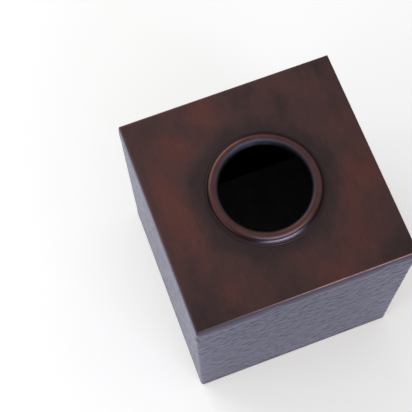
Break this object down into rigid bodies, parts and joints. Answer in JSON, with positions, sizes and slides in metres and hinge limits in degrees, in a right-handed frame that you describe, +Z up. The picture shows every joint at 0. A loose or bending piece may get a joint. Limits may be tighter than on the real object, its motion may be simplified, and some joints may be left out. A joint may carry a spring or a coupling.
{
  "type": "tissue box cover",
  "caption": "Square upright metal tissue box cover with a round beaded opening, hammered walls and a loose base pan; it lifts straight off to take a cube tissue box.",
  "frame": {"origin": "on the table, under the middle of the cover", "axes": "+Z up, -Y towards the front, +X to the right; the wall band's seam is at the back, on +Y"},
  "size_m": [0.127, 0.127, 0.1439],
  "materials": {
    "top_bronze": "oil-rubbed bronze, brushed and patinated",
    "ring_bronze": "polished oil-rubbed bronze",
    "hammered_bronze": "hammered oil-rubbed bronze outside, black inside",
    "black_paint": "satin black",
    "foot_rubber": "matte"
  },
  "bodies": {
    "base": {"base_pan": "black_paint", "foot_front_left": "foot_rubber", "foot_front_right": "foot_rubber", "foot_back_left": "foot_rubber", "foot_back_right": "foot_rubber"},
    "cover": {"top_cap": "top_bronze", "opening_ring": "ring_bronze", "wall_band": "hammered_bronze", "seam_strip": "black_paint"}
  },
  "joints": [
    {"name": "cover_lift", "type": "slide", "parent": "base", "child": "cover", "axis": [0, 0, 1], "range_m": [0, 0.15]}
  ]
}
